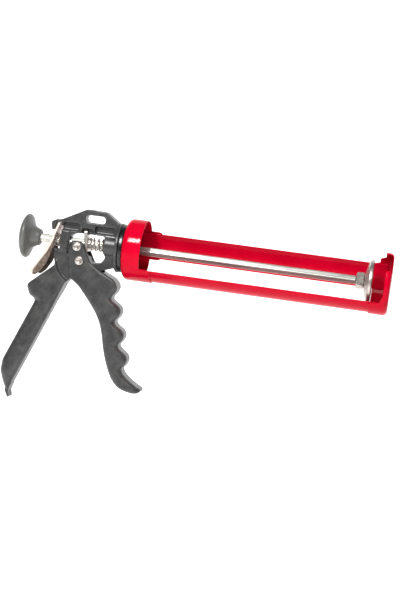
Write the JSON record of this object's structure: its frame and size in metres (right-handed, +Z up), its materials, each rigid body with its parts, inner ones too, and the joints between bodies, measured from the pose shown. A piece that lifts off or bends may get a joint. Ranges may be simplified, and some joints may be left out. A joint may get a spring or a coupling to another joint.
{
  "type": "caulking gun",
  "caption": "Skeleton caulking gun: cast pistol handle, squeeze trigger, friction-driven push rod with piston and knob, and a swivelling half-open cradle with a slotted nozzle plate.",
  "frame": {"origin": "centre of the piston's pushing face, on the push rod's axis, with the rod as shown", "axes": "+X along the push rod towards the nozzle, +Z up and away from the grips, Y across the gun's mid-plane"},
  "size_m": [0.3453, 0.056, 0.1824],
  "materials": {
    "cast_paint": "satin charcoal paint on cast aluminium",
    "black_paint": "semi-gloss black paint",
    "red_paint": "gloss red paint on pressed steel",
    "zinc": "bright zinc plate",
    "lever_zinc": "worn zinc plate",
    "spring_steel": "zinc-plated spring wire",
    "rod_steel": "bright drawn and plated steel",
    "knob_plastic": "moulded black plastic"
  },
  "bodies": {
    "casting": {"handle_casting": "cast_paint", "trigger_pivot_pin": "zinc", "drive_spring": "spring_steel", "release_spring": "spring_steel", "swivel_ring": "black_paint", "swivel_spring_washer": "spring_steel", "swivel_retainer_nut": "zinc"},
    "trigger": {"trigger": "cast_paint", "drive_shoe": "zinc", "shoe_rivet_near": "zinc", "shoe_rivet_far": "zinc"},
    "drive_plate": {"drive_plate": "zinc"},
    "release_lever": {"release_lever": "lever_zinc"},
    "rod": {"push_rod": "rod_steel", "pull_knob": "knob_plastic", "piston_disc": "zinc", "piston_rear_nut": "zinc", "piston_front_washer": "zinc", "piston_front_nut": "zinc"},
    "cradle": {"rear_cup": "red_paint", "near_rail": "red_paint", "far_rail": "red_paint", "front_cap": "red_paint"}
  },
  "joints": [
    {"name": "trigger_squeeze", "type": "hinge", "parent": "casting", "child": "trigger", "pos_m": [-0.2642, 0, -0.0158], "axis": [0, 1, 0], "range_deg": [0, 20], "stiffness_Nm_per_rad": 0.6, "springref_deg": -22.92},
    {"name": "drive_plate_slide", "type": "slide", "parent": "casting", "child": "drive_plate", "axis": [1, 0, 0], "range_m": [0, 0.0044], "deforming": ["drive_spring"]},
    {"name": "release_press", "type": "hinge", "parent": "casting", "child": "release_lever", "pos_m": [-0.2877, 0, 0.0162], "axis": [0, -1, 0], "range_deg": [0, 3], "stiffness_Nm_per_rad": 0.5, "springref_deg": -17.19, "deforming": ["release_spring"]},
    {"name": "rod_slide", "type": "slide", "parent": "casting", "child": "rod", "axis": [1, 0, 0], "range_m": [-0.2, 0.005]},
    {"name": "cradle_spin", "type": "hinge", "parent": "casting", "child": "cradle", "pos_m": [0, 0, 0], "axis": [1, 0, 0], "continuous": true}
  ],
  "couplings": [
    {"joint": "drive_plate_slide", "follows": "trigger_squeeze", "m_per_rad": 0.0125}
  ]
}
